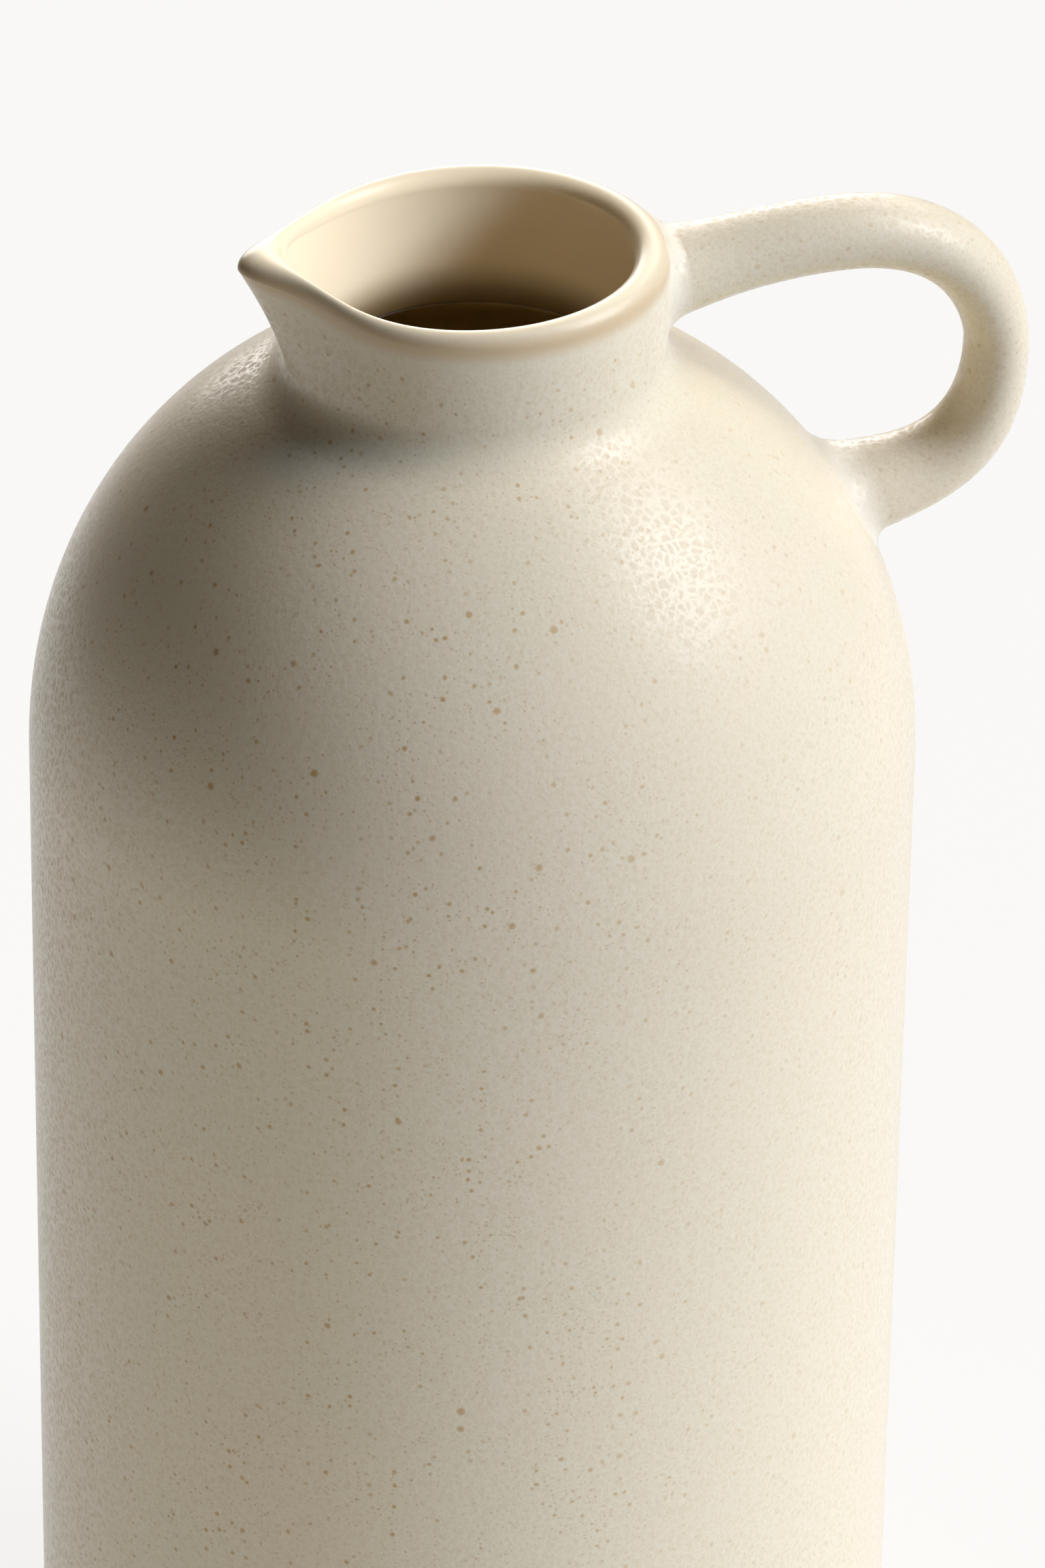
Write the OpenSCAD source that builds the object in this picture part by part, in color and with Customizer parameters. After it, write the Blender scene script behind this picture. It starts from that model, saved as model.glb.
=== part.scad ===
// Stoneware jug vase: a straight-sided body with a domed shoulder, a short neck
// pinched into a pouring lip, and one pulled strap handle. The clay pieces are
// made apart, luted together with slip and fired as one.
// Millimetres, +Z up. The origin is on the body's axis at the underside of the
// foot ring. The pouring lip points along -X and the handle along +X.

/* [Body] */
// Outside diameter of the straight wall
body_d = 150; // [144:1:156]
// Height of the wall's top edge, where the shoulder starts
wall_top = 205; // [150:1:240]
// Thickness of the clay in the wall and the shoulder
clay_t = 5; // [4:0.5:6]
// Thickness of the floor slab, which is also the radius of its outer edge
floor_t = 8; // [6:0.5:10]
// Thickness of the glossy glaze that lines the inside
liner_t = 0.6; // [0.4:0.1:1]

/* [Foot ring] */
// Outside diameter of the ring
foot_d = 124; // [100:1:128]
// Width of the ring's resting face and its rounded edges together
foot_w = 8; // [6:0.5:12]
// Height of the ring
foot_h = 3; // [2:0.5:5]
// Size of the worn bevel along both of its lower edges
foot_bevel = 0.8; // [0.4:0.1:1.5]

/* [Shoulder] */
// Height of the full dome above the wall's top edge
dome_rise = 77.8; // [75:0.1:80]
// Fullness of the dome: 2 is an ellipse, more is squarer
dome_power = 2.06; // [2:0.01:2.2]

/* [Neck] */
// Outside diameter of the neck
neck_d = 63; // [60:0.5:65]
// Thickness of the neck and of its rounded lip
neck_t = 5.8; // [5:0.1:6.4]
// Height of the lip above the wall's top edge, up to where its rounding starts
lip_h = 90.9; // [88:0.1:95]
// Height of the lip's rounding
lip_round = 2.65; // [2:0.05:3]
// How much higher the lip is at the handle than at its sides
lip_tilt = 0.9; // [0:0.1:2]
// Width of the slip fillet worked into the corner between neck and shoulder
neck_joint_w = 6; // [4:0.5:8]

/* [Pouring lip] */
// How far the pinched lip stands out from the neck
spout_reach = 8.9; // [5:0.1:10]
// How far the lip is raised at its tip
spout_rise = 4.1; // [0:0.1:5]
// How far the inside channel reaches towards the tip
channel_reach = 6.1; // [3:0.1:6.5]

/* [Handle] */
// Height of the upper root's centre above the wall's top edge
handle_root_h = 85.3; // [84:0.1:86]
// Distance of the arch's top from the body's axis
handle_top_x = 62.2; // [58:0.1:66]
// Height of the arch's top above the wall's top edge, at the centre of the strap
handle_top_h = 89.1; // [87:0.1:92]
// Distance of the outermost point from the body's axis, at the centre of the strap
handle_out_x = 90; // [86:0.1:95]
// Height of the outermost point above the wall's top edge
handle_out_h = 65; // [62:0.1:68]
// Height of the lower root's centre above the wall's top edge
handle_end_h = 39.9; // [38:0.1:42]
// Thickness of the strap, measured in the plane of its arch
handle_t = 11.7; // [10:0.1:13]
// Width of the strap for each millimetre of its thickness
handle_flatness = 1.35; // [1.2:0.05:1.5]
// Width of the slip fillets around both roots
handle_joint_w = 3.5; // [3.5:0.5:5]

/* [Hidden] */

GLAZE = [0.88, 0.85, 0.77];
LINER = [0.80, 0.72, 0.58];
BARE_CLAY = [0.76, 0.66, 0.52];

body_r = body_d / 2;
neck_r = neck_d / 2;
// The neck stands on a flat seat that is a little wider than the neck itself
seat_ledge = 2;
floor_top = foot_h + floor_t;

// Angles from the pouring lip, in degrees: how round its tip is and how far it spreads
spout_tip_a = 11.5;
spout_spread_a = 6.9;
channel_tip_a = 17;
channel_spread_a = 34;
rise_spread_a = 30;
// How the pinch grows from the seat up to the lip: 1 is a straight slope
spout_curve = 1.55;

// Reaches of the strap's three curves at their ends, which set how full each bend is
root_pull = 6.1;
top_pull_in = 11.8;
top_pull_out = 22.2;
out_pull_up = 8.1;
out_pull_down = 22.9;
end_pull = 8;
// Directions of the strap where it leaves the neck and where it meets the shoulder
root_slope = 0.11;
end_slope = -0.26;
// The strap thickens at both roots and thins where it was bent most
root_extra = 1.2;
end_extra = 1.5;
root_run = 0.12;
waist = 0.54;
waist_at = 0.65;
waist_run = 0.1;
// How far up the lip's rounding the upper root's slip may reach
lip_climb = 0.7;

dome_steps = 28;
edge_steps = 8;
round_fn = 180;
neck_around = 96;
wall_levels = 8;
lip_steps = 8;
strap_around = 28;
strap_steps = 10;
joint_rings = 2;
fillet_steps = 5;

// ---- shared shapes ----

// Radius and height of a dome with base radius r and rise h
function dome_radius(z, r, h) = r * pow(max(0, 1 - pow(z / h, dome_power)), 1 / dome_power);
function dome_height(x, r, h) = h * pow(max(0, 1 - pow(x / r, dome_power)), 1 / dome_power);
// How fast that height falls with the radius
function dome_slope(x, r, h) =
    h / r * pow(x / r, dome_power - 1) * pow(1 - pow(x / r, dome_power), 1 / dome_power - 1);

// Points of the dome's section from its base up to radius r_end, as [radius, height]
function dome_points(r, h, r_end) =
    let (a_end = acos(r_end / r))
    [for (i = [0:dome_steps]) let (x = r * cos(a_end * i / dome_steps))
        [x, wall_top + dome_height(x, r, h)]];

function reversed(list) = [for (i = [len(list) - 1:-1:0]) list[i]];

// Faces of a grid of rings that is closed both ways, such as a bent or hollow ring
function ring_faces(rings, around) =
    [for (i = [0:rings - 1], k = [0:around - 1])
        let (j = (i + 1) % rings, m = (k + 1) % around)
        [i * around + k, j * around + k, j * around + m, i * around + m]];

seat_z = wall_top + dome_height(neck_r + seat_ledge, body_r, dome_rise);
inner_r = body_r - clay_t;
inner_rise = dome_rise - clay_t;
throat_r = neck_r - neck_t;

// ---- body ----

module foot_ring() {
    outer = foot_d / 2;
    inner = outer - foot_w;
    color(BARE_CLAY)
        rotate_extrude($fn = round_fn)
            polygon([
                [inner + foot_bevel, 0], [outer - foot_bevel, 0], [outer, foot_bevel],
                [outer, foot_h], [inner, foot_h], [inner, foot_bevel]
            ]);
}

module base() {
    color(GLAZE)
        rotate_extrude($fn = round_fn)
            polygon(concat(
                [[0, foot_h]],
                [for (i = [0:edge_steps]) let (a = 90 * i / edge_steps)
                    [body_r - floor_t + floor_t * sin(a), floor_top - floor_t * cos(a)]],
                [[0, floor_top]]
            ));
}

module body_wall() {
    color(GLAZE)
        translate([0, 0, floor_top])
            difference() {
                cylinder(h = wall_top - floor_top, r = body_r, $fn = round_fn);
                translate([0, 0, -1])
                    cylinder(h = wall_top - floor_top + 2, r = inner_r, $fn = round_fn);
            }
}

module shoulder() {
    color(GLAZE)
        rotate_extrude($fn = round_fn)
            polygon(concat(
                dome_points(body_r, dome_rise, neck_r + seat_ledge),
                [[throat_r, seat_z]],
                reversed(dome_points(inner_r, inner_rise, throat_r))
            ));
}

// The thin coat inside the floor, the wall and the shoulder
module liner_glaze() {
    color(LINER)
        rotate_extrude($fn = round_fn)
            polygon(concat(
                [[0, floor_top], [inner_r, floor_top]],
                dome_points(inner_r, inner_rise, throat_r),
                reversed(dome_points(inner_r - liner_t, inner_rise - liner_t, throat_r)),
                [[inner_r - liner_t, floor_top + liner_t], [0, floor_top + liner_t]]
            ));
}

// ---- neck and pouring lip ----

// Size of the pinch at angle a from the pouring lip: 1 at its tip, fading to 0 around the neck
function pinch(a, tip, spread) = exp((tip - sqrt(a * a + tip * tip)) / spread);

function lip_z(a) =
    wall_top + lip_h + spout_rise * exp(-pow(a / rise_spread_a, 2)) - lip_tilt * cos(a);

function outer_r(a, z) =
    neck_r + spout_reach * pinch(a, spout_tip_a, spout_spread_a)
        * pow((z - seat_z) / (lip_z(a) - seat_z), spout_curve);

function inner_neck_r(a, z) =
    throat_r + channel_reach * pinch(a, channel_tip_a, channel_spread_a)
        * pow((z - seat_z) / (lip_z(a) - seat_z), spout_curve);

// Heights of the neck's levels: two through the slip fillet, then even steps up to the lip
function neck_level(a, i) =
    i <= joint_rings ? seat_z + neck_joint_w * i / joint_rings
    : seat_z + neck_joint_w
        + (lip_z(a) - seat_z - neck_joint_w) * (i - joint_rings) / (wall_levels - joint_rings);

// Angles of the profiles around the neck
neck_angles = [for (k = [0:neck_around - 1]) 180 - 360 * k / neck_around];

function polar(a, r, z) = [-r * cos(a), -r * sin(a), z];

function neck_profile(a) =
    let (
        top = lip_z(a),
        mid = (outer_r(a, top) + inner_neck_r(a, top)) / 2,
        half = (outer_r(a, top) - inner_neck_r(a, top)) / 2
    )
    concat(
        [for (i = [0:wall_levels - 1]) let (z = neck_level(a, i)) polar(a, outer_r(a, z), z)],
        [for (i = [0:lip_steps]) let (t = 180 * i / lip_steps)
            polar(a, mid + half * cos(t), top + lip_round * sin(t))],
        [for (i = [wall_levels - 1:-1:0]) let (z = neck_level(a, i))
            polar(a, inner_neck_r(a, z), z)]
    );

module neck() {
    profiles = [for (a = neck_angles) neck_profile(a)];
    color(GLAZE)
        polyhedron(
            points = [for (profile = profiles) each profile],
            faces = ring_faces(neck_around, len(profiles[0])),
            convexity = 6
        );
}

// A point on the quadratic curve from p to q that is tangent to both legs of the corner c
function fillet_point(p, c, q, t) = (1 - t) * (1 - t) * p + 2 * t * (1 - t) * c + t * t * q;

function neck_joint_profile(a) =
    let (
        up = [for (i = [0:joint_rings]) let (z = neck_level(a, i)) polar(a, outer_r(a, z), z)],
        ledge = polar(a, neck_r + seat_ledge, seat_z),
        foot_r = neck_r + neck_joint_w,
        foot_z = wall_top + dome_height(foot_r, body_r, dome_rise),
        on_dome = [for (i = [1:joint_rings - 1])
            let (r = neck_r + seat_ledge + (neck_joint_w - seat_ledge) * i / joint_rings)
            polar(a, r, wall_top + dome_height(r, body_r, dome_rise))],
        foot = polar(a, foot_r, foot_z),
        // Where the dome's slope at the foot of the fillet, carried on, meets the neck
        corner_z = foot_z + neck_joint_w * dome_slope(foot_r, body_r, dome_rise),
        corner = polar(a, neck_r, corner_z)
    )
    concat(
        reversed(up), [ledge], on_dome,
        [for (i = [0:fillet_steps - 1])
            fillet_point(foot, corner, up[joint_rings], i / fillet_steps)]
    );

module neck_joint() {
    profiles = [for (a = neck_angles) neck_joint_profile(a)];
    color(GLAZE)
        polyhedron(
            points = [for (profile = profiles) each profile],
            faces = ring_faces(neck_around, len(profiles[0])),
            convexity = 6
        );
}

// ---- handle ----

function bezier(p, q, r, s, t) =
    let (u = 1 - t) u * u * u * p + 3 * u * u * t * q + 3 * u * t * t * r + t * t * t * s;

// Centre line of the strap in the XZ plane, from the neck over the arch to the shoulder
strap_root = [neck_r, wall_top + handle_root_h];
strap_top = [handle_top_x, wall_top + handle_top_h];
strap_out = [handle_out_x, wall_top + handle_out_h];
strap_end = [dome_radius(handle_end_h, body_r, dome_rise), wall_top + handle_end_h];
strap_line = concat(
    [for (i = [0:strap_steps - 1])
        bezier(strap_root, strap_root + root_pull * [1, root_slope],
               strap_top - [top_pull_in, 0], strap_top, i / strap_steps)],
    [for (i = [0:strap_steps - 1])
        bezier(strap_top, strap_top + [top_pull_out, 0],
               strap_out + [0, out_pull_up], strap_out, i / strap_steps)],
    [for (i = [0:strap_steps])
        bezier(strap_out, strap_out - [0, out_pull_down],
               strap_end + end_pull * [1, -end_slope], strap_end, i / strap_steps)]
);
strap_last = len(strap_line) - 1;

function bell(x, width) = exp(-pow(x / width, 2));
function strap_half(i) =
    let (s = i / strap_last)
    handle_t / 2 + root_extra * bell(s, root_run) + end_extra * bell(1 - s, root_run)
        - waist * bell(s - waist_at, waist_run);

// Ring i of the strap's surface, made larger all round by grow
function strap_ring(i, grow = 0) =
    let (
        before = strap_line[max(0, i - 1)],
        after = strap_line[min(strap_last, i + 1)],
        along = (after - before) / norm(after - before),
        half = strap_half(i) + grow,
        wide = strap_half(i) * handle_flatness + grow
    )
    [for (k = [0:strap_around - 1]) let (a = 360 * k / strap_around)
        [strap_line[i][0] - along[1] * half * cos(a),
         wide * sin(a),
         strap_line[i][1] + along[0] * half * cos(a)]];

// The neck's surface under the handle, which turns inward over the lip's rounding
function on_neck(p) =
    let (
        side_top = lip_z(180),
        z = min(p[2], side_top + lip_climb * lip_round),
        over = max(0, z - side_top) / lip_round,
        r = neck_r - neck_t / 2 * (1 - sqrt(1 - over * over))
    )
    [sqrt(r * r - p[1] * p[1]), p[1], z];
function on_shoulder(p) =
    let (r = dome_radius(p[2] - wall_top, body_r, dome_rise)) [sqrt(r * r - p[1] * p[1]), p[1], p[2]];

// A root's end face is a set of shrinking rings that lie on the surface it is luted to
function centre_of(i) = [strap_line[i][0], 0, strap_line[i][1]];
function root_ring(scale_by) =
    [for (p = strap_ring(0)) on_neck(centre_of(0) + scale_by * (p - centre_of(0)))];
function end_ring(scale_by) =
    [for (p = strap_ring(strap_last))
        on_shoulder(centre_of(strap_last) + scale_by * (p - centre_of(strap_last)))];

module handle() {
    rings = concat(
        [root_ring(1 / 3), root_ring(2 / 3), root_ring(1)],
        [for (i = [1:strap_last - 1]) strap_ring(i)],
        [end_ring(1), end_ring(2 / 3), end_ring(1 / 3)]
    );
    count = len(rings);
    hub = count * strap_around;
    last = hub - strap_around;
    color(GLAZE)
        polyhedron(
            points = concat([for (ring = rings) each ring],
                            [on_neck(centre_of(0)), on_shoulder(centre_of(strap_last))]),
            faces = concat(
                [for (i = [0:count - 2], k = [0:strap_around - 1])
                    let (m = (k + 1) % strap_around)
                    [i * strap_around + k, i * strap_around + m,
                     (i + 1) * strap_around + m, (i + 1) * strap_around + k]],
                [for (k = [0:strap_around - 1]) [hub, (k + 1) % strap_around, k]],
                [for (k = [0:strap_around - 1])
                    [hub + 1, last + k, last + (k + 1) % strap_around]]
            ),
            convexity = 6
        );
}

// A collar of slip around a root: along three rings of the strap, then a hollow curve down
// to the body. Each corner is where the strap's side, carried on, meets the body.
module strap_collar(strap_side, corners, body_side, at_start) {
    tip_ring = strap_side[len(strap_side) - 1];
    profiles = [for (k = [0:strap_around - 1])
        let (profile = concat(
            [for (ring = strap_side) ring[k]],
            [for (i = [1:fillet_steps - 1])
                fillet_point(tip_ring[k], corners[k], body_side[k], i / fillet_steps)],
            [body_side[k]]
        ))
        at_start ? reversed(profile) : profile];
    color(GLAZE)
        polyhedron(
            points = [for (profile = profiles) each profile],
            faces = ring_faces(strap_around, len(profiles[0])),
            convexity = 6
        );
}

// The sides of the strap carried on in a straight line, one ring beyond the nearer of two rings
function carried_on(near, far) = [for (k = [0:strap_around - 1]) 2 * near[k] - far[k]];

module handle_top_joint() {
    near = strap_ring(1);
    far = strap_ring(2);
    strap_collar(
        [root_ring(1), near, far],
        [for (p = carried_on(near, far)) on_neck(p)],
        [for (p = strap_ring(0, handle_joint_w)) on_neck(p)],
        at_start = true
    );
}

module handle_bottom_joint() {
    near = strap_ring(strap_last - 1);
    far = strap_ring(strap_last - 2);
    strap_collar(
        [end_ring(1), near, far],
        [for (p = carried_on(near, far)) on_shoulder(p)],
        [for (p = strap_ring(strap_last, handle_joint_w)) on_shoulder(p)],
        at_start = false
    );
}

foot_ring();
base();
body_wall();
shoulder();
neck();
neck_joint();
handle();
handle_top_joint();
handle_bottom_joint();
liner_glaze();
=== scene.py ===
"""Visual model of the stoneware jug vase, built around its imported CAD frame. Shapes are worked out in
millimetres, as in the CAD source, and become metres in the meshes."""
import math

import bpy
import numpy as np
from mathutils import Matrix, Vector


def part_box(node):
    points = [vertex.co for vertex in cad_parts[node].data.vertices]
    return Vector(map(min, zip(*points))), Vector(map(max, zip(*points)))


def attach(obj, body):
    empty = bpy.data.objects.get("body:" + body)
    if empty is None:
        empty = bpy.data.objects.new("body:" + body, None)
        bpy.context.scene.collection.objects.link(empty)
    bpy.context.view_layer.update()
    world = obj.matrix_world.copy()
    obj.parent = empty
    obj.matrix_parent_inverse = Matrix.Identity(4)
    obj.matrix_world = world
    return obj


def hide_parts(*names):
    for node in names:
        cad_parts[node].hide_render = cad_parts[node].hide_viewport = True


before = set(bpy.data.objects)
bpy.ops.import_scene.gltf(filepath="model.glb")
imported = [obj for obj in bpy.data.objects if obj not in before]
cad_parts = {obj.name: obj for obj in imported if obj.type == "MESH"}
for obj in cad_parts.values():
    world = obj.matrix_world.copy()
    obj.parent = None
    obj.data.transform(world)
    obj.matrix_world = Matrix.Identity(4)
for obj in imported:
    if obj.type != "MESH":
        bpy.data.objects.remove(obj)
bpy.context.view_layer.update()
MM = 0.001


def box_mm(node):
    """Lowest and highest corner of a CAD node, in millimetres."""
    low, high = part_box(node)
    return np.array(low) / MM, np.array(high) / MM


# ---- dimensions read from the frame ----

wall_low, wall_high = box_mm("body_wall")
BODY_R = wall_high[0]
FLOOR_TOP = wall_low[2]
WALL_TOP = wall_high[2]
FOOT_R, _, FOOT_H = box_mm("foot_ring")[1]
SEAT_Z = box_mm("neck")[0][2]

# ---- dimensions repeated from the CAD source, in millimetres ----

# The body: thickness of the clay, of the liner and of the foot ring, and the shoulder's dome
CLAY_T = 5.0
LINER_T = 0.6
FOOT_W = 8.0
DOME_RISE = 77.8
DOME_POWER = 2.06

# The neck, its rounded and slightly tilted lip, and the slip around its foot
NECK_R = 31.5
NECK_T = 5.8
LIP_ABOVE_WALL = 90.9
LIP_ROUND = 2.65
LIP_TILT = 0.9
SEAT_LEDGE = 2.0
NECK_JOINT_W = 6.0

# The pouring spout outside, its channel inside and its rise. A name that ends in _A is an angle, in
# degrees around the axis
SPOUT_REACH = 8.9
SPOUT_TIP_A = 11.5
SPOUT_SPREAD_A = 6.9
CHANNEL_REACH = 6.1
CHANNEL_TIP_A = 17.0
CHANNEL_SPREAD_A = 34.0
SPOUT_RISE = 4.1
RISE_SPREAD_A = 30.0
SPOUT_CURVE = 1.55

# The strap handle: its thickness, how much wider it is, and where it thickens and thins. Places and
# runs along the strap are shares of its length
HANDLE_T = 11.7
HANDLE_FLATNESS = 1.35
ROOT_EXTRA = 1.2
END_EXTRA = 1.5
ROOT_RUN = 0.12
WAIST = 0.54
WAIST_AT = 0.65
WAIST_RUN = 0.1
HANDLE_JOINT_W = 3.5
# How far up the lip's rounding the strap's root reaches at most, as a share of its height
LIP_CLIMB = 0.7

# ---- dimensions that follow ----

INNER_R = BODY_R - CLAY_T
INNER_RISE = DOME_RISE - CLAY_T
LINED_R = INNER_R - LINER_T
LINED_RISE = INNER_RISE - LINER_T
THROAT_R = NECK_R - NECK_T
LIP_Z = WALL_TOP + LIP_ABOVE_WALL
LEDGE_R = NECK_R + SEAT_LEDGE
FLOOR_T = FLOOR_TOP - FOOT_H
FOOT_IN_R = FOOT_R - FOOT_W

# ---- how finely the surfaces are divided ----

AROUND = 480
AROUND_CROWDING = 0.5
STRAP_AROUND = 112
LIP_ROWS = 33
THROAT_ROWS = 24
HANDLE_JOINT_ROWS = 20

# Angles around the axis, in degrees from the pouring lip, closer together near it
even_turns = np.linspace(-math.pi, math.pi, AROUND, endpoint=False)
ANGLES = np.degrees(even_turns - AROUND_CROWDING * np.sin(even_turns))


# ---- shapes of the vase ----

def dome_height(radius, base, rise):
    return rise * np.maximum(0, 1 - (radius / base) ** DOME_POWER) ** (1 / DOME_POWER)


def dome_radius(height, base, rise):
    return base * np.maximum(0, 1 - (height / rise) ** DOME_POWER) ** (1 / DOME_POWER)


def dome_slope(radius, base, rise):
    """How much the dome falls for each millimetre outward."""
    share = radius / base
    flatness = (1 - share ** DOME_POWER) ** (1 / DOME_POWER - 1)
    return rise / base * share ** (DOME_POWER - 1) * flatness


def pinch(angle, tip, spread):
    """Size of the pinch at an angle from the pouring lip: 1 at its tip, fading to 0 around the neck."""
    return np.exp((tip - np.sqrt(angle ** 2 + tip ** 2)) / spread)


def lip_z(angle):
    raised = SPOUT_RISE * np.exp(-(angle / RISE_SPREAD_A) ** 2)
    return LIP_Z + raised - LIP_TILT * np.cos(np.radians(angle))


def climb(angle, z):
    """How far the pinch has grown at a height on the neck: 0 at the seat, 1 at the lip."""
    return np.maximum(0, (z - SEAT_Z) / (lip_z(angle) - SEAT_Z)) ** SPOUT_CURVE


def outer_r(angle, z):
    pinched = pinch(angle, SPOUT_TIP_A, SPOUT_SPREAD_A) * climb(angle, z)
    return NECK_R + SPOUT_REACH * pinched


def inner_r(angle, z):
    pinched = pinch(angle, CHANNEL_TIP_A, CHANNEL_SPREAD_A) * climb(angle, z)
    return THROAT_R + CHANNEL_REACH * pinched


# ---- rows of points ----

# Points closer than this, in millimetres, are in the same place
SAME_PLACE = 1e-6


def column(values):
    """One value for each row becomes a column, which spreads along the rows. Others stay as they are."""
    values = np.asarray(values, float)
    return values[:, None] if values.ndim == 1 else values


def around(radius, height):
    """Rows of points around the axis. Radius and height are given for each row, or for each row and
    angle."""
    radius, height, angle = np.broadcast_arrays(column(radius), column(height), ANGLES)
    a = np.radians(angle)
    return np.stack([-radius * np.cos(a), -radius * np.sin(a), height], axis=-1)


def bezier(points, rows):
    """Rows on the curve that runs from the first point to the last and is pulled by those between. Each
    point may be a whole array of points, for as many curves at once."""
    t = np.linspace(0, 1, rows).reshape(-1, *[1] * np.ndim(points[0]))
    last = len(points) - 1
    return sum(math.comb(last, i) * t ** i * (1 - t) ** (last - i) * point
               for i, point in enumerate(points))


def unit(vectors):
    lengths = np.linalg.norm(vectors, axis=-1, keepdims=True)
    return vectors / np.maximum(lengths, np.finfo(float).tiny)


def surface_normals(rows):
    along = np.gradient(rows, axis=0, edge_order=2 if len(rows) > 2 else 1)
    across = np.roll(rows, -1, axis=1) - np.roll(rows, 1, axis=1)
    return unit(np.cross(across, along))


def is_point(row):
    return np.ptp(row, axis=0).max() < SAME_PLACE


def fade(distance, reach):
    """1 at no distance, falling smoothly to 0 at the reach."""
    t = np.clip(1 - distance / reach, 0, 1)
    return t * t * (3 - 2 * t)


# ---- meshes ----

class Band:
    """Rows of points that each close on themselves, with their normals and the material's masks. A mask is
    one value, or a value for each row, or for each row and point. A piece's bands run outward below, up
    outside, inward above and down inside."""

    def __init__(self, rows, normals=None, **masks):
        self.rows = np.asarray(rows, float)
        self.normals = surface_normals(self.rows) if normals is None else np.array(normals)
        self.masks = masks

    def faces(self, row_points):
        """Corners of the faces between the rows, and the normal at each corner, from the point numbers
        of each row. Faces that end in a point are triangles."""
        corners, normals = [], []
        for i in range(len(self.rows) - 1):
            low, high = row_points[i], row_points[i + 1]
            low_n, high_n = self.normals[i], self.normals[i + 1]
            ring = np.stack([low, np.roll(low, -1), np.roll(high, -1), high], axis=1)
            ring_n = np.stack([low_n, np.roll(low_n, -1, axis=0),
                               np.roll(high_n, -1, axis=0), high_n], axis=1)
            if is_point(self.rows[i]):
                ring, ring_n = ring[:, [0, 2, 3]], ring_n[:, [3, 2, 3]]
            elif is_point(self.rows[i + 1]):
                ring, ring_n = ring[:, [0, 1, 2]], ring_n[:, [0, 1, 0]]
            corners.extend(ring.tolist())
            normals.extend(ring_n.reshape(-1, 3).tolist())
        return corners, normals


def joined_rows(bands):
    """All rows once, and where each band's rows are among them. Each band starts on the row where the
    last one ended. The whole ends where it started, or both its ends are points."""
    rows = [bands[0].rows[0]]
    places = []
    for band in bands:
        places.append([len(rows) - 1 + i for i in range(len(band.rows))])
        rows.extend(band.rows[1:])
    if not is_point(rows[-1]):
        rows.pop()
        places[-1][-1] = 0
    return rows, places


def numbered_points(rows):
    """The mesh's points in metres, and each row's point numbers. A row that is one point is kept once."""
    points, numbers = [], []
    for row in rows:
        kept = row[:1] if is_point(row) else row
        numbers.append(len(points) + np.minimum(np.arange(len(row)), len(kept) - 1))
        points.extend(kept * MM)
    return points, numbers


def new_object(name, data):
    made = bpy.data.objects.new(name, data)
    bpy.context.scene.collection.objects.link(made)
    return made


def piece(name, nodes, bands, material):
    """Makes one closed mesh of its bands, which stands for the CAD nodes."""
    rows, places = joined_rows(bands)
    points, numbers = numbered_points(rows)
    faces, normals, masks = [], [], {}
    for band, band_places in zip(bands, places):
        row_points = [numbers[place] for place in band_places]
        band_faces, band_normals = band.faces(row_points)
        faces.extend(band_faces)
        normals.extend(band_normals)
        for mask, given in band.masks.items():
            values = masks.setdefault(mask, np.zeros(len(points)))
            given = np.broadcast_to(column(given), band.rows.shape[:2])
            for touched, row_values in zip(row_points, given):
                values[touched] = np.maximum(values[touched], row_values)
    mesh = bpy.data.meshes.new(name)
    mesh.from_pydata(points, [], faces)
    mesh.polygons.foreach_set("use_smooth", [True] * len(faces))
    mesh.normals_split_custom_set(normals)
    for mask in sorted(masks):
        mesh.attributes.new(mask, "FLOAT", "POINT").data.foreach_set("value", masks[mask])
    mesh.materials.append(material)
    made = new_object(name, mesh)
    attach(made, "root")
    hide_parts(*nodes)


# ---- materials ----

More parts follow.
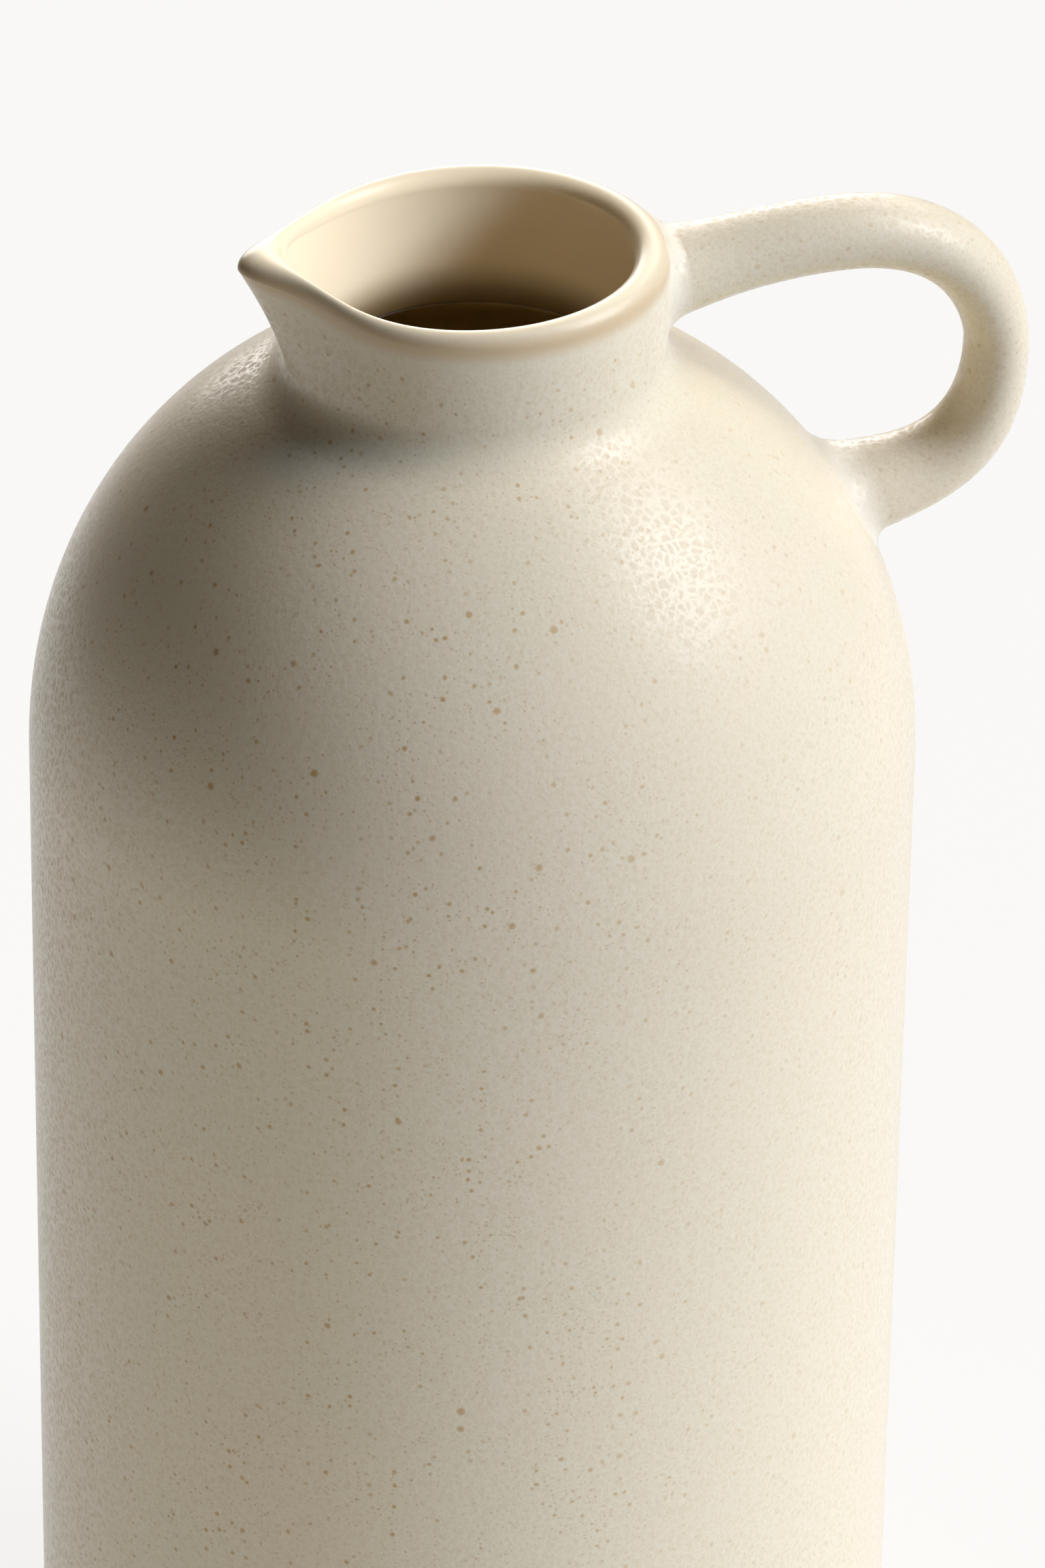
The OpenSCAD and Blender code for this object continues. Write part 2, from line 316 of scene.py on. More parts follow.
class Nodes:
    """Builds a material's node tree. Inputs may be numbers, colours or another node's output."""

    def __init__(self, name):
        self.material = bpy.data.materials.new(name)
        self.material.use_nodes = True
        self.tree = self.material.node_tree
        self.tree.nodes.clear()

    def add(self, kind, output=0, inputs=None, **settings):
        node = self.tree.nodes.new("ShaderNode" + kind)
        for setting, value in settings.items():
            setattr(node, setting, value)
        for key, value in (inputs or {}).items():
            socket = node.inputs[key]
            if isinstance(value, bpy.types.NodeSocket):
                self.tree.links.new(value, socket)
            else:
                socket.default_value = value
        return node.outputs[output]

    def math(self, operation, a, b, clamp=False):
        return self.add("Math", inputs={0: a, 1: b}, operation=operation, use_clamp=clamp)

    def times(self, a, b):
        return self.math("MULTIPLY", a, b)

    def ramp(self, value, low, high, to_low=0.0, to_high=1.0):
        """The value taken from one range to another, smoothly and within limits."""
        inputs = {"Value": value, "From Min": low, "From Max": high,
                  "To Min": to_low, "To Max": to_high}
        return self.add("MapRange", inputs=inputs, interpolation_type="SMOOTHSTEP")

    def blend(self, share, a, b):
        return self.add("Mix", output=2, inputs={0: share, 6: a, 7: b}, data_type="RGBA")

    def tint(self, colour, tint, mask, strength):
        """The colour taken towards a tint, by a strength where the mask is 1."""
        return self.blend(self.times(mask, strength), colour, tint)

    def moved(self, vector, by):
        return self.add("VectorMath", inputs={0: vector, 1: by})

    def scaled(self, vector, factor):
        return self.add("VectorMath", inputs={0: vector, "Scale": factor}, operation="SCALE")

    def axis(self, vector, number):
        return self.add("SeparateXYZ", output=number, inputs={0: vector})

    def noise(self, place, size, detail=2.0, roughness=0.5, output=0):
        """Noise with features of about a size in millimetres."""
        inputs = {"Vector": place, "Scale": 1 / size, "Detail": detail, "Roughness": roughness}
        return self.add("TexNoise", output=output, inputs=inputs)

    def shaken(self, place, size, reach):
        """The place moved by noise, so that what is drawn there gets uneven edges."""
        return self.moved(place, self.scaled(self.noise(place, size, output="Color"), reach))

    def cells(self, place, size, output, feature="F1"):
        """Cells of about a size in millimetres."""
        inputs = {"Vector": place, "Scale": 1 / size, "Randomness": 1.0}
        return self.add("TexVoronoi", output=output, inputs=inputs, feature=feature)

    def mask(self, name):
        return self.add("Attribute", output="Fac", attribute_name=name)

    def place_mm(self):
        """Where a point is on the object, in millimetres."""
        return self.scaled(self.add("TexCoord", output="Object"), 1 / MM)

    def finish(self, shader):
        end_node = self.tree.nodes.new("ShaderNodeOutputMaterial")
        self.tree.links.new(shader, end_node.inputs["Surface"])
        return self.material


def rgb(r, g, b):
    return (r, g, b, 1.0)


CREAM = rgb(0.70, 0.605, 0.44)
CREAM_PINK = rgb(0.705, 0.602, 0.433)
CREAM_GREEN = rgb(0.68, 0.607, 0.435)
NET_PALE_AND_GLINT = rgb(0.82, 0.76, 0.62)
DOT = rgb(0.50, 0.355, 0.18)
SPECK = rgb(0.48, 0.30, 0.115)
POOLED = rgb(0.79, 0.745, 0.64)
BREAK_TAN = rgb(0.56, 0.385, 0.20)
INSIDE_PALE = rgb(0.89, 0.73, 0.485)
INSIDE_SHADE_BROWN = rgb(0.19, 0.122, 0.047)
# Tan under the throat, lighter than the band above so that the dim rounding there looks lit: painted light
INSIDE_DEEP = rgb(0.64, 0.455, 0.18)
CLAY_DARK = rgb(0.50, 0.38, 0.26)
CLAY_PALE = rgb(0.60, 0.49, 0.36)

# The inside is pale near the lip, painted dark brown around the throat as painted shade, and tan below it
PALE_Z = SEAT_Z + 8.5
SHADE_BROWN_Z = SEAT_Z - 0.2
DEEP_Z = SEAT_Z - 1.2

# The specks are painted fainter along X, from the lip's side to the handle's, which faces the key lights:
# painted light that washes them out. Where that starts and ends, and the share of their strength that is
# left
SHADED_SIDE_SPECKS_X = -35.0
LIT_SIDE_SPECKS_X = 40.0
LIT_SIDE_SPECK_SHARE = 0.4

# Roughness of the surfaces, and how much of it the net takes away
GLOSSY_ROUGHNESS = 0.3
SATIN_ROUGHNESS = 0.53
NET_SHINE = 0.25
CLAY_ROUGHNESS = 0.85
GLAZE_IOR = 1.5

# Heights of the eggshell surface in millimetres, and the share of them that is left on the glossy rim
WAVE_HEIGHT = 0.055
GRAIN_HEIGHT = 0.016
PIT_DEPTH = 0.015
RIM_SHARE = 0.05
GROG_HEIGHT = 0.15

# Moves a pattern away from another one that has the same noise, in millimetres
PATTERN_SHIFT = (31.0, 17.0, 5.0)


def round_spots(n, place, size, radius, share, soft):
    """Round spots of up to a radius, in a share of the cells, with soft edges, all in millimetres."""
    distance = n.times(n.cells(place, size, "Distance"), size)
    pick = n.add("SeparateColor", inputs={0: n.cells(place, size, "Color")}).node
    reach = n.times(n.math("ADD", pick.outputs[1], 1.0), radius / 2)
    spot = n.ramp(n.math("SUBTRACT", reach, distance), low=0.0, high=soft)
    return n.times(spot, n.math("LESS_THAN", pick.outputs[0], share))


def iron_specks(n, mm, outside):
    """Masks of the fine dots, of the common spots and of the few large blots."""
    uneven = n.shaken(mm, size=0.6, reach=0.35)
    apart = n.moved(uneven, PATTERN_SHIFT)
    crowd = n.ramp(n.noise(mm, size=14.0), low=0.3, high=0.6, to_low=0.35)
    side = n.axis(mm, 0)
    # Specks painted fainter towards the key-lit side: painted light
    washed_out_by_light = n.ramp(side, SHADED_SIDE_SPECKS_X, LIT_SIDE_SPECKS_X, to_low=1.0, to_high=LIT_SIDE_SPECK_SHARE)
    everywhere = n.times(outside, washed_out_by_light)
    in_crowds = n.times(everywhere, crowd)
    dots = round_spots(n, apart, size=0.9, radius=0.34, share=0.9, soft=0.24)
    spots = round_spots(n, uneven, size=1.9, radius=0.62, share=0.8, soft=0.42)
    blots = round_spots(n, apart, size=5.5, radius=0.95, share=0.55, soft=0.5)
    return n.times(dots, in_crowds), n.times(spots, in_crowds), n.times(blots, everywhere)


def net_lines(n, mm):
    """1 along the lines of a fine uneven net and 0 between them."""
    uneven = n.shaken(mm, size=1.6, reach=1.4)
    border = n.cells(uneven, size=1.7, output="Distance", feature="DISTANCE_TO_EDGE")
    return n.ramp(border, low=0.0, high=0.25, to_low=1.0, to_high=0.0)


def clouded_cream(n, mm, outside):
    """Cream that drifts between a pinkish and a greenish one, with faint sand in it outside."""
    drift = n.ramp(n.noise(mm, size=38.0), low=0.35, high=0.65)
    mottle = n.ramp(n.noise(mm, size=5.0, detail=4.0, roughness=0.6), low=0.35, high=0.7)
    smudge = n.ramp(n.noise(mm, size=2.2), low=0.55, high=0.75)
    sand = n.ramp(n.noise(mm, size=0.6, roughness=0.7), low=0.4, high=0.75)
    colour = n.blend(drift, CREAM_GREEN, CREAM_PINK)
    colour = n.tint(colour, CREAM, mottle, strength=0.6)
    colour = n.tint(colour, CREAM_PINK, smudge, strength=0.5)
    return n.tint(colour, DOT, n.times(sand, outside), strength=0.24)


# Darker down the inside towards the throat, where the lip's shadow falls: painted shade
def inside_colour_with_painted_shade(n, mm):
    z = n.axis(mm, 2)
    low = n.blend(n.ramp(z, DEEP_Z, SHADE_BROWN_Z), INSIDE_DEEP, INSIDE_SHADE_BROWN)
    return n.blend(n.ramp(z, SHADE_BROWN_Z, PALE_Z), low, INSIDE_PALE)


def eggshell(n, mm, dots, outside):
    """The satin surface: low waves, finer grain and a pit at each dot, almost smooth on the rim."""
    waves = n.times(n.noise(mm, size=1.3), WAVE_HEIGHT)
    grain = n.times(n.noise(mm, size=0.5, detail=1.0), GRAIN_HEIGHT)
    height = n.math("SUBTRACT", n.math("ADD", waves, grain), n.times(dots, PIT_DEPTH))
    share = n.math("ADD", n.times(outside, 1 - RIM_SHARE), RIM_SHARE)
    return n.add("Bump", inputs={"Height": n.times(height, share), "Distance": MM, "Strength": 1.0})


def glaze(name):
    n = Nodes(name)
    mm = n.place_mm()
    rim = n.mask("rim")
    outside = n.math("SUBTRACT", 1.0, rim, clamp=True)
    net = net_lines(n, mm)
    dots, spots, blots = iron_specks(n, mm, outside)
    colour = clouded_cream(n, mm, outside)
    # Pale net lines: partly paler veins in the glaze, partly a painted highlight of the net's glints
    colour = n.tint(colour, NET_PALE_AND_GLINT, net, strength=0.15)
    colour = n.tint(colour, DOT, dots, strength=0.75)
    colour = n.tint(colour, SPECK, spots, strength=0.95)
    colour = n.tint(colour, SPECK, blots, strength=0.85)
    colour = n.tint(colour, POOLED, n.mask("pool"), strength=0.4)
    colour = n.blend(n.mask("inside"), colour, inside_colour_with_painted_shade(n, mm))
    colour = n.tint(colour, BREAK_TAN, n.mask("edge"), strength=0.75)
    satin = n.math("SUBTRACT", SATIN_ROUGHNESS, n.times(net, NET_SHINE))
    roughness = n.add("Mix", inputs={0: rim, 2: satin, 3: GLOSSY_ROUGHNESS}, data_type="FLOAT")
    shader = n.add("BsdfPrincipled", inputs={
        "Base Color": colour, "Roughness": roughness, "Normal": eggshell(n, mm, dots, outside),
        "IOR": GLAZE_IOR, "Specular IOR Level": 0.38, "Sheen Weight": 0.45, "Sheen Roughness": 0.3})
    return n.finish(shader)


def liner(name):
    n = Nodes(name)
    shader = n.add("BsdfPrincipled", inputs={
        "Base Color": inside_colour_with_painted_shade(n, n.place_mm()), "Roughness": GLOSSY_ROUGHNESS,
        "IOR": GLAZE_IOR})
    return n.finish(shader)


def bare_clay(name):
    n = Nodes(name)
    grog = n.noise(n.place_mm(), size=0.8, detail=4.0)
    colour = n.blend(n.ramp(grog, low=0.35, high=0.7), CLAY_DARK, CLAY_PALE)
    bumped = n.add("Bump", inputs={"Height": n.times(grog, GROG_HEIGHT), "Distance": MM})
    shader = n.add("BsdfPrincipled", inputs={
        "Base Color": colour, "Roughness": CLAY_ROUGHNESS, "Normal": bumped})
    return n.finish(shader)


# ---- the body's pieces ----

# Where the neck's slip ends: its radius and height on the dome, and its height on the neck
NECK_JOINT_R = NECK_R + NECK_JOINT_W
NECK_JOINT_Z = WALL_TOP + dome_height(NECK_JOINT_R, BODY_R, DOME_RISE)
NECK_JOINT_TOP = SEAT_Z + NECK_JOINT_W
# The throat's edge is rounded from the neck's inside to a wider ring under the shoulder. Its upper rows
# are the shoulder's, and the others are the liner's
THROAT_ROUND = 12.0
THROAT_END_R = THROAT_R + THROAT_ROUND
THROAT_END_Z = WALL_TOP + dome_height(THROAT_END_R, LINED_R, LINED_RISE)
THROAT_SPLIT = 8
UNDER_THROAT = (THROAT_END_R, WALL_TOP + dome_height(THROAT_END_R, INNER_R, INNER_RISE))
FOOT_ROUND = 0.8
LINER_CORNER = 6.0


def revolve(section, **masks):
    """A band turned from rows of the section, which are their radii and their heights."""
    radius, height = section
    return Band(around(radius, height), **masks)


def line(p, q, rows):
    """Rows on a straight line of the section between two points."""
    t = np.linspace(0, 1, rows)
    return p[0] + (q[0] - p[0]) * t, p[1] + (q[1] - p[1]) * t


def quarter(centre, radius, start, rows):
    """Rows on a quarter circle of the section, turning left from a direction in degrees."""
    t = np.radians(np.linspace(start, start + 90, rows))
    return centre[0] + radius * np.cos(t), centre[1] + radius * np.sin(t)


def dome(base, rise, low_r, high_r, rows):
    """Rows up a dome from one radius to a smaller one, evenly spaced in angle."""
    turned = np.linspace(math.acos(min(1, low_r / base)), math.acos(high_r / base), rows)
    radius = base * np.cos(turned)
    return radius, WALL_TOP + dome_height(radius, base, rise)


def backward(section):
    return section[0][::-1], section[1][::-1]


def build_foot_ring(material):
    outer = FOOT_R - FOOT_ROUND
    inner = FOOT_IN_R + FOOT_ROUND
    bands = [
        revolve(line((inner, 0), (outer, 0), rows=8)),
        revolve(quarter((outer, FOOT_ROUND), FOOT_ROUND, start=-90, rows=6)),
        revolve(line((FOOT_R, FOOT_ROUND), (FOOT_R, FOOT_H), rows=4)),
        revolve(line((FOOT_R, FOOT_H), (FOOT_IN_R, FOOT_H), rows=3)),
        revolve(line((FOOT_IN_R, FOOT_H), (FOOT_IN_R, FOOT_ROUND), rows=4)),
        revolve(quarter((inner, FOOT_ROUND), FOOT_ROUND, start=180, rows=6)),
    ]
    piece("turned_foot_ring", ["foot_ring"], bands, material)


def build_base(material):
    edge = BODY_R - FLOOR_T
    bands = [
        revolve(line((0, FOOT_H), (edge, FOOT_H), rows=40)),
        revolve(quarter((edge, FLOOR_TOP), FLOOR_T, start=-90, rows=20)),
        revolve(line((BODY_R, FLOOR_TOP), (0, FLOOR_TOP), rows=8)),
    ]
    piece("floor_slab", ["base"], bands, material)


def build_wall(material):
    bands = [
        revolve(line((BODY_R, FLOOR_TOP), (BODY_R, WALL_TOP), rows=60)),
        revolve(line((BODY_R, WALL_TOP), (INNER_R, WALL_TOP), rows=3)),
        revolve(line((INNER_R, WALL_TOP), (INNER_R, FLOOR_TOP), rows=12)),
        revolve(line((INNER_R, FLOOR_TOP), (BODY_R, FLOOR_TOP), rows=3)),
    ]
    piece("thrown_wall", ["body_wall"], bands, material)


def throat_section():
    """Rows on the rounded edge, from the seat down to the lined underside of the shoulder."""
    fall = dome_slope(THROAT_END_R, LINED_R, LINED_RISE)
    top = np.array([THROAT_R, SEAT_Z])
    corner = np.array([THROAT_R, THROAT_END_Z + fall * (THROAT_END_R - THROAT_R)])
    end = np.array([THROAT_END_R, THROAT_END_Z])
    return bezier([top, corner, end], THROAT_ROWS).T


def build_shoulder(material):
    throat = throat_section()[:, :THROAT_SPLIT]
    bands = [
        revolve(dome(BODY_R, DOME_RISE, BODY_R, NECK_JOINT_R, rows=72)),
        revolve(dome(BODY_R, DOME_RISE, NECK_JOINT_R, LEDGE_R, rows=6)),
        revolve(line((LEDGE_R, SEAT_Z), (THROAT_R, SEAT_Z), rows=6)),
        revolve(throat, rim=1.0, inside=1.0),
        revolve(line(throat[:, -1], UNDER_THROAT, rows=3)),
        revolve(backward(dome(INNER_R, INNER_RISE, INNER_R, THROAT_END_R, rows=30))),
        revolve(line((INNER_R, WALL_TOP), (BODY_R, WALL_TOP), rows=3)),
    ]
    piece("domed_shoulder", ["shoulder"], bands, material)


def build_liner(material):
    throat = throat_section()[:, THROAT_SPLIT - 1:]
    lined_floor = FLOOR_TOP + LINER_T
    corner = (LINED_R - LINER_CORNER, lined_floor + LINER_CORNER)
    bands = [
        revolve(line((0, FLOOR_TOP), (INNER_R, FLOOR_TOP), rows=12)),
        revolve(line((INNER_R, FLOOR_TOP), (INNER_R, WALL_TOP), rows=12)),
        revolve(dome(INNER_R, INNER_RISE, INNER_R, THROAT_END_R, rows=30)),
        revolve(line(UNDER_THROAT, throat[:, 0], rows=3)),
        revolve(throat),
        revolve(backward(dome(LINED_R, LINED_RISE, LINED_R, THROAT_END_R, rows=60))),
        revolve(line((LINED_R, WALL_TOP), (LINED_R, corner[1]), rows=40)),
        revolve(backward(quarter(corner, LINER_CORNER, start=-90, rows=10))),
        revolve(line((corner[0], lined_floor), (0, lined_floor), rows=24)),
    ]
    piece("inside_glaze_coat", ["liner_glaze"], bands, material)


# ---- the neck with its pouring lip ----

# How far below the lip the glossy rim and the tan line fade out
RIM_FADE = 7.0
EDGE_FADE = 3.0
# Where on the way over the lip's rounding the tan line ends and the inside's colour is full
EDGE_TURN = 0.45
INSIDE_TURN = 0.9


def heights(start, end, rows):
    """Rows of heights from one to another, which may differ around the neck."""
    return start + (end - start) * np.linspace(0, 1, rows)[:, None]


def build_neck(material):
    lip = lip_z(ANGLES)
    up_z = heights(NECK_JOINT_TOP, lip, rows=34)
    up_r = outer_r(ANGLES, up_z)
    down_z = heights(lip, SEAT_Z, rows=40)
    down_r = inner_r(ANGLES, down_z)
    middle = (up_r[-1] + down_r[0]) / 2
    half = (up_r[-1] - down_r[0]) / 2
    t = np.radians(np.linspace(0, 180, LIP_ROWS))[:, None]
    turned = np.linspace(0, 1, LIP_ROWS)
    hidden_z = heights(SEAT_Z, NECK_JOINT_TOP, rows=6)
    bands = [
        Band(around(outer_r(ANGLES, hidden_z), hidden_z)),
        Band(around(up_r, up_z), rim=fade(lip - up_z, RIM_FADE), edge=fade(lip - up_z, EDGE_FADE)),
        Band(around(middle + half * np.cos(t), lip + LIP_ROUND * np.sin(t)),
             rim=1.0, edge=fade(turned, EDGE_TURN), inside=1 - fade(turned, INSIDE_TURN)),
        Band(around(down_r, down_z), rim=1.0, inside=1.0),
        revolve(line((THROAT_R, SEAT_Z), (NECK_R, SEAT_Z), rows=3)),
    ]
    piece("neck_and_pouring_lip", ["neck"], bands, material)


def build_neck_joint(material):
    """The hollow curve of slip between the shoulder and the neck."""
    top_r = outer_r(ANGLES, NECK_JOINT_TOP)
    fall = dome_slope(NECK_JOINT_R, BODY_R, DOME_RISE)
    step = 0.01
    above = outer_r(ANGLES, NECK_JOINT_TOP + step)
    below = outer_r(ANGLES, NECK_JOINT_TOP - step)
    lean = (above - below) / (2 * step)
    # The corner is where the dome's slope and the neck's lean, both carried on, meet
    corner_z = NECK_JOINT_Z + fall * (NECK_JOINT_R - top_r + lean * NECK_JOINT_TOP)
    corner_z /= 1 + fall * lean
    corner_r = top_r - lean * (NECK_JOINT_TOP - corner_z)
    foot = np.array([[NECK_JOINT_R], [NECK_JOINT_Z]])
    corner = np.stack([corner_r, corner_z])
    top = np.stack([top_r, np.full_like(top_r, NECK_JOINT_TOP)])
    slip = bezier([foot, corner, top], rows=20)
    z = heights(NECK_JOINT_TOP, SEAT_Z, rows=6)
    bands = [
        Band(around(slip[:, 0], slip[:, 1])),
        Band(around(outer_r(ANGLES, z), z)),
        revolve(line((NECK_R, SEAT_Z), (LEDGE_R, SEAT_Z), rows=3)),
        revolve(backward(dome(BODY_R, DOME_RISE, NECK_JOINT_R, LEDGE_R, rows=6))),
    ]
    piece("neck_slip_joint", ["neck_joint"], bands, material)


# ---- the strap handle and its slip joints ----

# Where the strap's three curves meet on its middle line, as a distance from the axis and a height
STRAP_START = np.array([NECK_R, WALL_TOP + 85.3])
STRAP_TOP = np.array([62.2, WALL_TOP + 89.1])
STRAP_OUTERMOST = np.array([90.0, WALL_TOP + 65.0])
END_HEIGHT = 39.9
STRAP_END = np.array([dome_radius(END_HEIGHT, BODY_R, DOME_RISE), WALL_TOP + END_HEIGHT])
# How far and which way each curve is pulled at both of its ends
START_PULL = 6.1 * np.array([1, 0.11])
TOP_PULL_IN = np.array([11.8, 0])
TOP_PULL_OUT = np.array([22.2, 0])
OUTERMOST_PULL_UP = np.array([0, 8.1])
OUTERMOST_PULL_DOWN = np.array([0, 22.9])
END_PULL = 8 * np.array([1, 0.26])
STRAP_CURVES = [
    (STRAP_START, STRAP_START + START_PULL, STRAP_TOP - TOP_PULL_IN, STRAP_TOP),
    (STRAP_TOP, STRAP_TOP + TOP_PULL_OUT, STRAP_OUTERMOST + OUTERMOST_PULL_UP, STRAP_OUTERMOST),
    (STRAP_OUTERMOST, STRAP_OUTERMOST - OUTERMOST_PULL_DOWN, STRAP_END + END_PULL, STRAP_END),
]
CURVE_ROWS = 51
END_FACE_ROWS = 5

# The ring of the strap where its slip joints end, and how deep their feet sink into the body
TIP_RING = 8
JOINT_SINK = 0.03
# Least and greatest distance of a joint's corner from where it leaves the strap
CORNER_LEAST = 1.0
CORNER_MOST = 9.0


def strap_line():
    curves = [bezier(curve, CURVE_ROWS) for curve in STRAP_CURVES]
    return np.concatenate([curves[0], curves[1][1:], curves[2][1:]])


def bell(x, width):
    return np.exp(-(x / width) ** 2)


def strap_rings(grow=0.0):
    """Rings along the strap's surface, made larger all round by grow."""
    centre = strap_line()
    share = np.linspace(0, 1, len(centre))
    along = unit(np.gradient(centre, axis=0))
    half = HANDLE_T / 2 + ROOT_EXTRA * bell(share, ROOT_RUN) + END_EXTRA * bell(1 - share, ROOT_RUN)
    half -= WAIST * bell(share - WAIST_AT, WAIST_RUN)
    a = np.linspace(0, 2 * math.pi, STRAP_AROUND, endpoint=False)
    thick = (half + grow)[:, None] * np.cos(a)
    wide = (half * HANDLE_FLATNESS + grow)[:, None] * np.sin(a)
    x = centre[:, :1] - along[:, 1:] * thick
    z = centre[:, 1:] + along[:, :1] * thick
    return np.stack([x, -wide, z], axis=-1)


def on_round(radius, y, z, outward, upward):
    """Points on the side towards the handle of a round surface of that radius there, and their normals,
    which lean as much outward and upward as given."""
    x = np.sqrt(radius ** 2 - y ** 2)
    normals = np.stack([x / radius * outward, y / radius * outward, upward], axis=-1)
    return np.stack([x, y, z], axis=-1), unit(normals)


def on_neck(points):
    """The points moved along X onto the neck's surface, which turns inward over the lip's rounding."""
    side_top = LIP_Z + LIP_TILT
    z = np.minimum(points[..., 2], side_top + LIP_CLIMB * LIP_ROUND)
    over = np.maximum(0, z - side_top) / LIP_ROUND
    level = np.sqrt(1 - over ** 2)
    half = NECK_T / 2
    return on_round(NECK_R - half * (1 - level), points[..., 1], z, level / half, over / LIP_ROUND)


def on_shoulder(points):
    """The points moved along X onto the shoulder's surface."""
    z = points[..., 2]
    radius = dome_radius(z - WALL_TOP, BODY_R, DOME_RISE)
    outward = (radius / BODY_R) ** (DOME_POWER - 1) / BODY_R
    upward = ((z - WALL_TOP) / DOME_RISE) ** (DOME_POWER - 1) / DOME_RISE
    return on_round(radius, points[..., 1], z, outward, upward)


def end_face(ring, centre, project, opening):
    """The strap's end, on the surface that it is luted to, from its middle out or from its ring in."""
    centre = np.array([centre[0], 0, centre[1]])
    scales = np.linspace(0, 1, END_FACE_ROWS)[::1 if opening else -1]
    return Band(project(centre + scales[:, None, None] * (ring - centre))[0])


def build_handle(material):
    rings = strap_rings()
    rings[0] = on_neck(rings[0])[0]
    rings[-1] = on_shoulder(rings[-1])[0]
    bands = [
        end_face(rings[0], STRAP_START, on_neck, opening=True),
        Band(rings),
        end_face(rings[-1], STRAP_END, on_shoulder, opening=False),
    ]
    piece("pulled_strap_handle", ["handle"], bands, material)


def build_strap_joint(name, node, material, at_start):
    """A collar of slip from the body's surface to the strap, tangent to both."""
    # Rings are counted from this end of the strap, and their normals still point outward
    order = 1 if at_start else -1
    project = on_neck if at_start else on_shoulder
    rings = strap_rings()[::order]
    tip = rings[TIP_RING]
    tip_normal = order * surface_normals(rings)[TIP_RING]
    body, body_normal = project(strap_rings(HANDLE_JOINT_W)[::order][0])
    # The corner is where the strap's side, carried on, meets the plane that touches the body at the ring
    inward = unit(rings[TIP_RING - 1] - rings[TIP_RING + 1])
    reach = ((body - tip) * body_normal).sum(axis=1) / (inward * body_normal).sum(axis=1)
    corner = tip + np.clip(reach, CORNER_LEAST, CORNER_MOST)[:, None] * inward
    slip = bezier([body - JOINT_SINK * body_normal, corner, tip], HANDLE_JOINT_ROWS)
    normals = order * surface_normals(slip)
    normals[0] = body_normal
    normals[-1] = tip_normal
    hidden = rings[TIP_RING::-1].copy()
    hidden[-1] = project(hidden[-1])[0]
    halfway = project((hidden[-1] + slip[0]) / 2)[0]
    foot = np.stack([hidden[-1], halfway, slip[0]])
    pool = np.sin(np.linspace(0, math.pi, HANDLE_JOINT_ROWS))
    if at_start:
        bands = [Band(slip, normals, pool=pool), Band(hidden), Band(foot)]
    else:
        bands = [Band(slip[::-1], normals[::-1], pool=pool), Band(foot[::-1]), Band(hidden[::-1])]
    piece(name, [node], bands, material)


# ---- the object ----

cream = glaze("satin_cream_glaze")
lined = liner("glossy_inside_glaze")
clay = bare_clay("bare_stoneware")

build_foot_ring(clay)
build_base(cream)
build_wall(cream)
build_shoulder(cream)
build_liner(lined)
build_neck(cream)
build_neck_joint(cream)
build_handle(cream)
build_strap_joint("upper_slip_joint", "handle_top_joint", cream, at_start=True)
build_strap_joint("lower_slip_joint", "handle_bottom_joint", cream, at_start=False)


# ---- camera ----

# The point that the camera looks at, and its distance from there, in metres
AIM = Vector((0.0083, -0.0022, WALL_TOP * MM - 0.0089))
CAMERA_DISTANCE = 1.5026
CAMERA_TURN = math.radians(15)
CAMERA_PITCH = math.radians(30.92)
CAMERA_ROLL = math.radians(0.87)
LENS = 203.125
SENSOR = 36.0


def build_camera():
    forward = Vector((math.sin(CAMERA_TURN) * math.cos(CAMERA_PITCH),
                      math.cos(CAMERA_TURN) * math.cos(CAMERA_PITCH), -math.sin(CAMERA_PITCH)))
    level = Vector((math.cos(CAMERA_TURN), -math.sin(CAMERA_TURN), 0))
    right = math.cos(CAMERA_ROLL) * level + math.sin(CAMERA_ROLL) * level.cross(forward)
    up = right.cross(forward)
    data = bpy.data.cameras.new("camera")
    data.lens = LENS
    data.sensor_fit = "VERTICAL"
    data.sensor_height = SENSOR
    data.clip_start = 0.05
    data.clip_end = 50
    camera = new_object("camera", data)
    turned = Matrix((right, up, -forward)).transposed().to_4x4()
    camera.matrix_world = Matrix.Translation(AIM - CAMERA_DISTANCE * forward) @ turned
    bpy.context.scene.camera = camera


# ---- floor and light ----

# The floor's half width, and how far from the axis its glow is even and where it has faded, in metres
FLOOR_REACH = 6.0
FLOOR_PLATEAU = 0.95
FLOOR_FADED = 1.35
FLOOR_GLOW = 0.84
FLOOR_COLOUR = rgb(0.1, 0.091, 0.073)
ROOM_GLOW = 0.03
ROOM_COLOUR = rgb(1, 0.9, 0.72)

COOL = (0.8, 1.03, 1.55)
NEUTRAL = (1.02, 1.01, 0.99)
WARM = (1.0, 0.93, 0.83)
WHITE = (1.0, 0.97, 0.93)

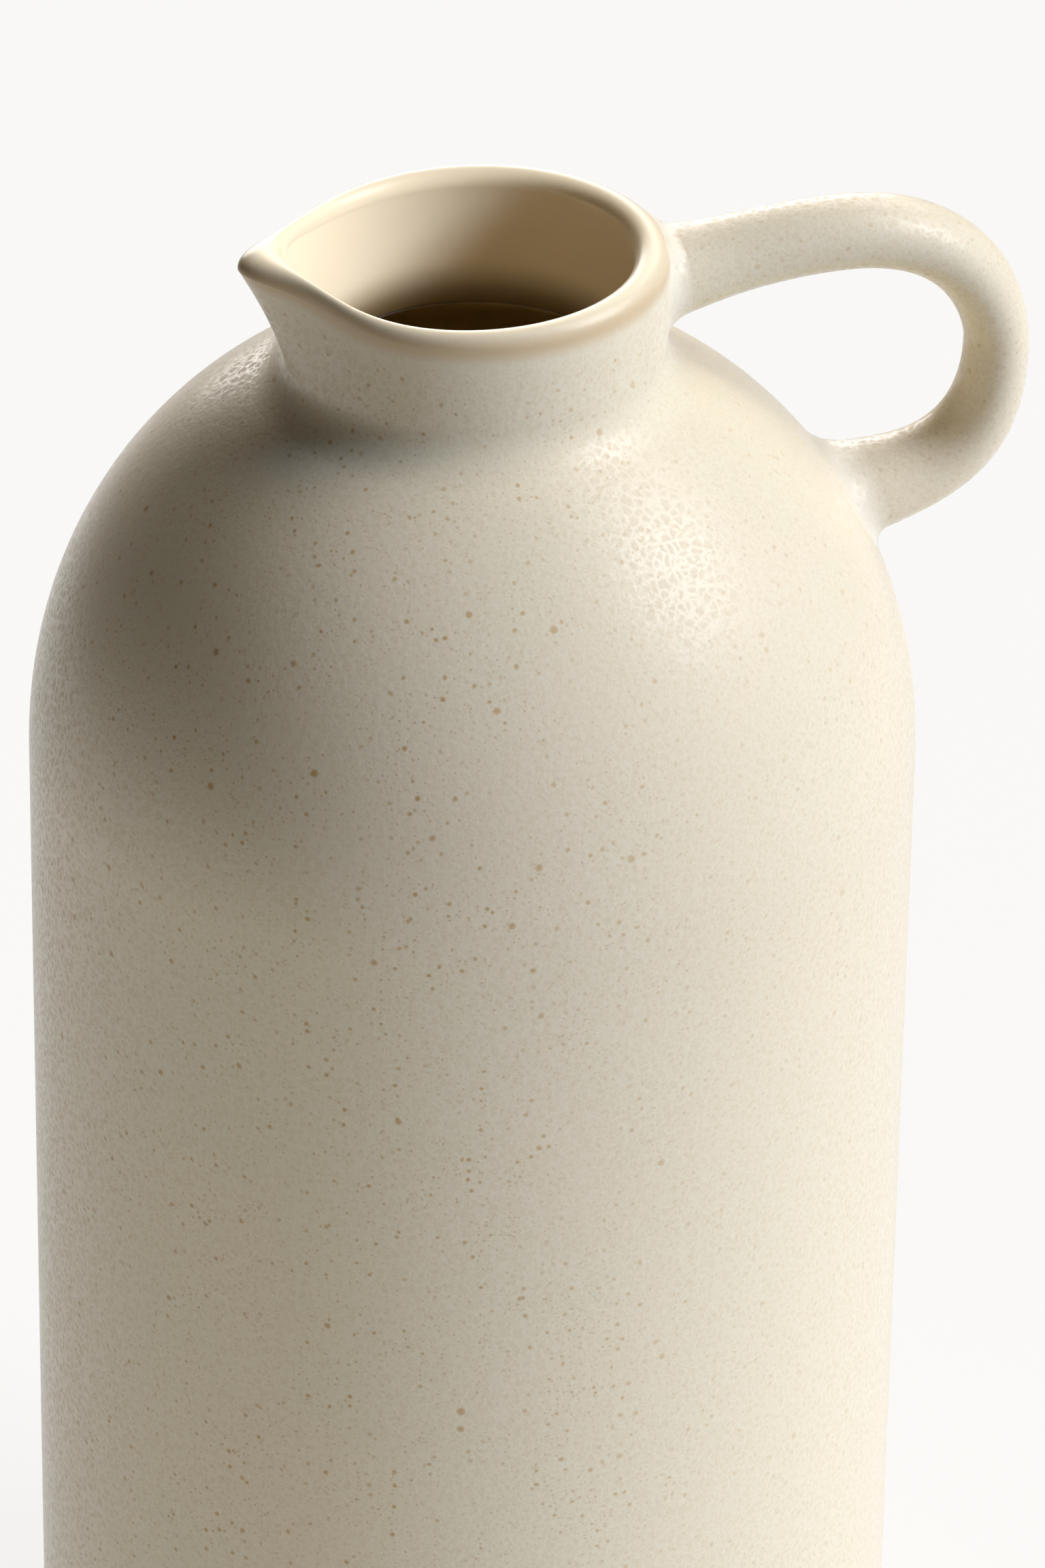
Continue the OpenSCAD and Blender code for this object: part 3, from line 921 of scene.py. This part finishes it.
# Each soft round light: its direction and height above the floor and its width, in degrees, its
# strength and colour, and whether it makes highlights. Directions turn left from +X
STUDIO = {
    "key_low": dict(turn=326, height=25, width=20, strength=1.42, colour=COOL, shines=False),
    "key_middle": dict(turn=340, height=40, width=30, strength=1.7, colour=NEUTRAL, shines=True),
    "key_high": dict(turn=4, height=54, width=32, strength=1.12, colour=WHITE, shines=True),
    "front_low": dict(turn=308, height=12, width=24, strength=0.25, colour=WARM, shines=False),
    "back_low": dict(turn=84, height=8, width=34, strength=1.65, colour=WHITE, shines=True),
    "back_high": dict(turn=62, height=36, width=34, strength=0.9, colour=WARM, shines=True),
}


def build_floor():
    """A pale floor that glows a little, so that it stays even, and fades out far from the object."""
    n = Nodes("pale_floor")
    here = n.add("TexCoord", output="Object")
    away = n.add("VectorMath", output="Value", inputs={0: here}, operation="LENGTH")
    glow = n.ramp(away, FLOOR_PLATEAU, FLOOR_FADED, to_low=FLOOR_GLOW, to_high=ROOM_GLOW)
    shader = n.add("AddShader", inputs={
        0: n.add("Emission", inputs={"Color": rgb(1, 1, 1), "Strength": glow}),
        1: n.add("BsdfDiffuse", inputs={"Color": FLOOR_COLOUR})})
    mesh = bpy.data.meshes.new("floor")
    corners = [(x * FLOOR_REACH, y * FLOOR_REACH, 0) for x, y in ((-1, -1), (1, -1), (1, 1), (-1, 1))]
    mesh.from_pydata(corners, [], [(0, 1, 2, 3)])
    mesh.materials.append(n.finish(shader))
    floor = new_object("floor", mesh)


def build_light(name, turn, height, width, strength, colour, shines):
    data = bpy.data.lights.new(name, "SUN")
    data.angle = math.radians(width)
    data.energy = strength
    data.color = colour
    lamp = new_object(name, data)
    lamp.visible_glossy = shines
    across, rise = math.radians(turn), math.radians(height)
    level = math.cos(rise)
    towards = Vector((math.cos(across) * level, math.sin(across) * level, math.sin(rise)))
    lamp.rotation_mode = "QUATERNION"
    lamp.rotation_quaternion = towards.to_track_quat("Z", "Y")


def build_world():
    world = bpy.data.worlds.new("studio")
    bpy.context.scene.world = world
    world.use_nodes = True
    background = world.node_tree.nodes["Background"]
    background.inputs["Color"].default_value = ROOM_COLOUR
    background.inputs["Strength"].default_value = ROOM_GLOW


build_camera()
build_floor()
build_world()
for light_name, light in STUDIO.items():
    build_light(light_name, **light)
bpy.context.scene.view_settings.view_transform = "Standard"
